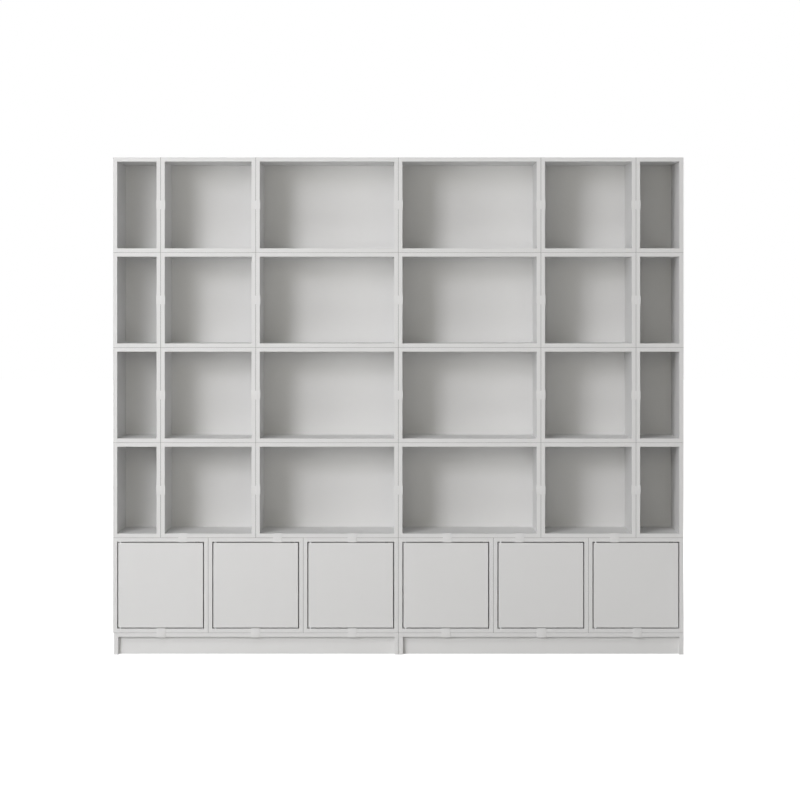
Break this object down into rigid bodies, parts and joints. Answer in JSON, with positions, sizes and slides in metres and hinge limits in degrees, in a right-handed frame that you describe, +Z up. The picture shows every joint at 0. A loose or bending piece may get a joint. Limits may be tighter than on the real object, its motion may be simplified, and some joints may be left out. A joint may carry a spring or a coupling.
{
  "type": "modular shelving unit",
  "caption": "Wide freestanding bookcase of stacked open boxes in three widths over a row of push-to-open cupboards, held by U-shaped clips and standing on low plinths.",
  "frame": {"origin": "on the floor, under the centre of the unit's bounding box", "axes": "+X to the right along the width as seen from the front, +Y to the rear, +Z up; the fronts face -Y"},
  "size_m": [2.616, 0.352, 2.3],
  "materials": {
    "painted_board": "satin light grey paint on smooth fibreboard",
    "clip_plastic": "moulded nylon in the boards' light grey",
    "zinc_plated_steel": "zinc plated",
    "latch_plastic": "moulded grey plastic"
  },
  "bodies": {
    "carcass": {"open_module_row1_column1": "painted_board", "open_module_row1_column2": "painted_board", "open_module_row1_column3": "painted_board", "open_module_row1_column4": "painted_board", "open_module_row1_column5": "painted_board", "open_module_row1_column6": "painted_board", "open_module_row2_column1": "painted_board", "open_module_row2_column2": "painted_board", "open_module_row2_column3": "painted_board", "open_module_row2_column4": "painted_board", "open_module_row2_column5": "painted_board", "open_module_row2_column6": "painted_board", "open_module_row3_column1": "painted_board", "open_module_row3_column2": "painted_board", "open_module_row3_column3": "painted_board", "open_module_row3_column4": "painted_board", "open_module_row3_column5": "painted_board", "open_module_row3_column6": "painted_board", "open_module_row4_column1": "painted_board", "open_module_row4_column2": "painted_board", "open_module_row4_column3": "painted_board", "open_module_row4_column4": "painted_board", "open_module_row4_column5": "painted_board", "open_module_row4_column6": "painted_board", "cupboard_module_1": "painted_board", "cupboard_module_2": "painted_board", "cupboard_module_3": "painted_board", "cupboard_module_4": "painted_board", "cupboard_module_5": "painted_board", "cupboard_module_6": "painted_board", "pivot_pins": "zinc_plated_steel", "latch_bodies": "latch_plastic", "inner_shelves": "painted_board", "shelf_pins": "zinc_plated_steel", "side_clips": "clip_plastic", "cupboard_top_clips": "clip_plastic", "plinth_clips": "clip_plastic", "plinth_tops": "painted_board", "plinth_ends": "painted_board", "plinth_rails": "painted_board", "wall_brackets": "zinc_plated_steel", "wood_screws": "zinc_plated_steel"},
    "door_leaf_1": {"door_1": "painted_board", "door_fittings_1": "zinc_plated_steel"},
    "plunger_1": {"latch_plunger_1": "latch_plastic"},
    "door_leaf_2": {"door_2": "painted_board", "door_fittings_2": "zinc_plated_steel"},
    "plunger_2": {"latch_plunger_2": "latch_plastic"},
    "door_leaf_3": {"door_3": "painted_board", "door_fittings_3": "zinc_plated_steel"},
    "plunger_3": {"latch_plunger_3": "latch_plastic"},
    "door_leaf_4": {"door_4": "painted_board", "door_fittings_4": "zinc_plated_steel"},
    "plunger_4": {"latch_plunger_4": "latch_plastic"},
    "door_leaf_5": {"door_5": "painted_board", "door_fittings_5": "zinc_plated_steel"},
    "plunger_5": {"latch_plunger_5": "latch_plastic"},
    "door_leaf_6": {"door_6": "painted_board", "door_fittings_6": "zinc_plated_steel"},
    "plunger_6": {"latch_plunger_6": "latch_plastic"}
  },
  "joints": [
    {"name": "door_1_hinge", "type": "hinge", "parent": "carcass", "child": "door_leaf_1", "pos_m": [-1.2744, -0.167, 0.318], "axis": [0, 0, -1], "range_deg": [0, 105]},
    {"name": "plunger_1_slide", "type": "slide", "parent": "carcass", "child": "plunger_1", "axis": [0, -1, 0], "range_m": [0, 0.01]},
    {"name": "door_2_hinge", "type": "hinge", "parent": "carcass", "child": "door_leaf_2", "pos_m": [-0.8384, -0.167, 0.318], "axis": [0, 0, -1], "range_deg": [0, 105]},
    {"name": "plunger_2_slide", "type": "slide", "parent": "carcass", "child": "plunger_2", "axis": [0, -1, 0], "range_m": [0, 0.01]},
    {"name": "door_3_hinge", "type": "hinge", "parent": "carcass", "child": "door_leaf_3", "pos_m": [-0.4024, -0.167, 0.318], "axis": [0, 0, -1], "range_deg": [0, 105]},
    {"name": "plunger_3_slide", "type": "slide", "parent": "carcass", "child": "plunger_3", "axis": [0, -1, 0], "range_m": [0, 0.01]},
    {"name": "door_4_hinge", "type": "hinge", "parent": "carcass", "child": "door_leaf_4", "pos_m": [0.0336, -0.167, 0.318], "axis": [0, 0, -1], "range_deg": [0, 105]},
    {"name": "plunger_4_slide", "type": "slide", "parent": "carcass", "child": "plunger_4", "axis": [0, -1, 0], "range_m": [0, 0.01]},
    {"name": "door_5_hinge", "type": "hinge", "parent": "carcass", "child": "door_leaf_5", "pos_m": [0.4696, -0.167, 0.318], "axis": [0, 0, -1], "range_deg": [0, 105]},
    {"name": "plunger_5_slide", "type": "slide", "parent": "carcass", "child": "plunger_5", "axis": [0, -1, 0], "range_m": [0, 0.01]},
    {"name": "door_6_hinge", "type": "hinge", "parent": "carcass", "child": "door_leaf_6", "pos_m": [0.9056, -0.167, 0.318], "axis": [0, 0, -1], "range_deg": [0, 105]},
    {"name": "plunger_6_slide", "type": "slide", "parent": "carcass", "child": "plunger_6", "axis": [0, -1, 0], "range_m": [0, 0.01]}
  ],
  "couplings": [
    {"joint": "plunger_1_slide", "follows": "door_1_hinge", "m_per_rad": 0.0054562},
    {"joint": "plunger_2_slide", "follows": "door_2_hinge", "m_per_rad": 0.0054562},
    {"joint": "plunger_3_slide", "follows": "door_3_hinge", "m_per_rad": 0.0054562},
    {"joint": "plunger_4_slide", "follows": "door_4_hinge", "m_per_rad": 0.0054562},
    {"joint": "plunger_5_slide", "follows": "door_5_hinge", "m_per_rad": 0.0054562},
    {"joint": "plunger_6_slide", "follows": "door_6_hinge", "m_per_rad": 0.0054562}
  ]
}
